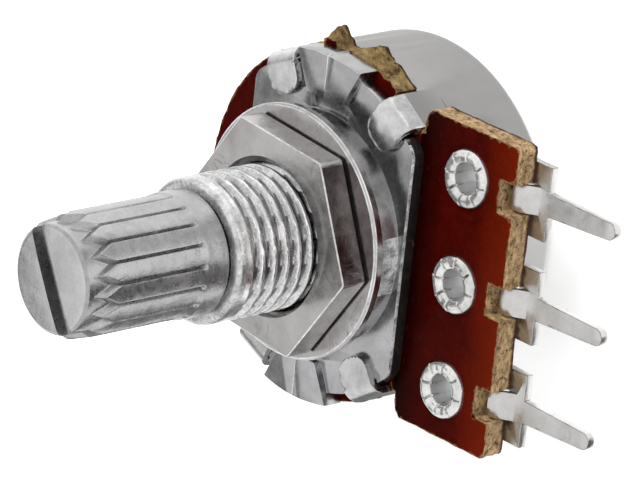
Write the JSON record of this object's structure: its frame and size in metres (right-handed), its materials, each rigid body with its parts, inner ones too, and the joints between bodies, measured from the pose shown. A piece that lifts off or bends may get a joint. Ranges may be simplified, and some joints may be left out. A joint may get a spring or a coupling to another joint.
{
  "type": "rotary potentiometer",
  "caption": "Small panel potentiometer: knurled split shaft in a threaded bushing with nut and washer, laminate board with riveted solder pins, round metal cover.",
  "frame": {"origin": "centre of the rear cover's flat back, on the shaft axis; the panel seats 8.7 mm above it", "axes": "+Z along the shaft towards its split end, -Y towards the solder pins, +X to the pins' side that is up in the picture"},
  "size_m": [0.018, 0.026, 0.0236],
  "materials": {
    "plate_casting": "satin die casting",
    "shaft_metal": "satin die casting",
    "nut_plating": "satin nickel plating",
    "washer_steel": "bright nickel plating",
    "phenolic": "dark red-brown laminate with torn tan edges",
    "cover_steel": "satin tin plating",
    "terminal_tin": "matte tin plating",
    "eyelet_tin": "bright tin plating",
    "rotor_plastic": "moulded, matt",
    "wiper_bronze": "bright rolled spring sheet",
    "ring_steel": "plain spring steel",
    "carbon_film": "matt carbon print",
    "silver_film": "matt silver print"
  },
  "bodies": {
    "case": {"bushing_plate": "plate_casting", "hex_nut": "nut_plating", "flat_washer": "washer_steel", "wafer_board": "phenolic", "rear_cover": "cover_steel", "terminal_1": "terminal_tin", "terminal_2": "terminal_tin", "terminal_3": "terminal_tin", "eyelet_1": "eyelet_tin", "eyelet_2": "eyelet_tin", "eyelet_3": "eyelet_tin", "resistive_track": "carbon_film", "collector_ring": "silver_film", "end_pad_1": "silver_film", "end_pad_3": "silver_film", "centre_lead": "silver_film"},
    "spindle": {"shaft": "shaft_metal", "rotor": "rotor_plastic", "wiper": "wiper_bronze", "retaining_ring": "ring_steel", "thrust_washer": "ring_steel"}
  },
  "joints": [
    {"name": "shaft_turn", "type": "hinge", "parent": "case", "child": "spindle", "pos_m": [0, 0, 0.0142], "axis": [0, 0, 1], "range_deg": [-150, 150]}
  ]
}
